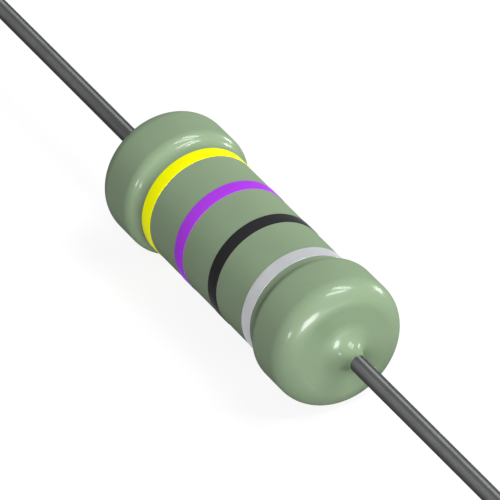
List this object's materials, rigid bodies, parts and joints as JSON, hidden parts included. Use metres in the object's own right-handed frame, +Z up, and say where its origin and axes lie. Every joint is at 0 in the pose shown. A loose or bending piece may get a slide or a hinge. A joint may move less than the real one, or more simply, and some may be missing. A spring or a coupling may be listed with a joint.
{
  "type": "anti-surge resistor",
  "caption": "Axial anti-surge resistor with a dog-bone enamelled body, colour bands and stiff wire leads that solder into a circuit board.",
  "frame": {"origin": "the middle of the enamelled body, on the axis of the wires", "axes": "+X along the wires, from the yellow band towards the silver band; +Z up; the part is turned about X"},
  "size_m": [0.0734, 0.0064, 0.0064],
  "materials": {
    "ceramic_carbon": "matte",
    "sprayed_metal": "matte",
    "tinned_cap": "satin",
    "tinned_wire": "satin",
    "green_enamel": "gloss",
    "yellow_ink": "satin",
    "violet_ink": "satin",
    "black_ink": "satin",
    "silver_ink": "satin"
  },
  "bodies": {
    "root": {"resistive_rod": "ceramic_carbon", "metal_end_left": "sprayed_metal", "metal_end_right": "sprayed_metal", "end_cap_left": "tinned_cap", "end_cap_right": "tinned_cap", "lead_left": "tinned_wire", "lead_right": "tinned_wire", "enamel_coat": "green_enamel", "band_yellow": "yellow_ink", "band_violet": "violet_ink", "band_black": "black_ink", "band_silver": "silver_ink"}
  },
  "joints": []
}
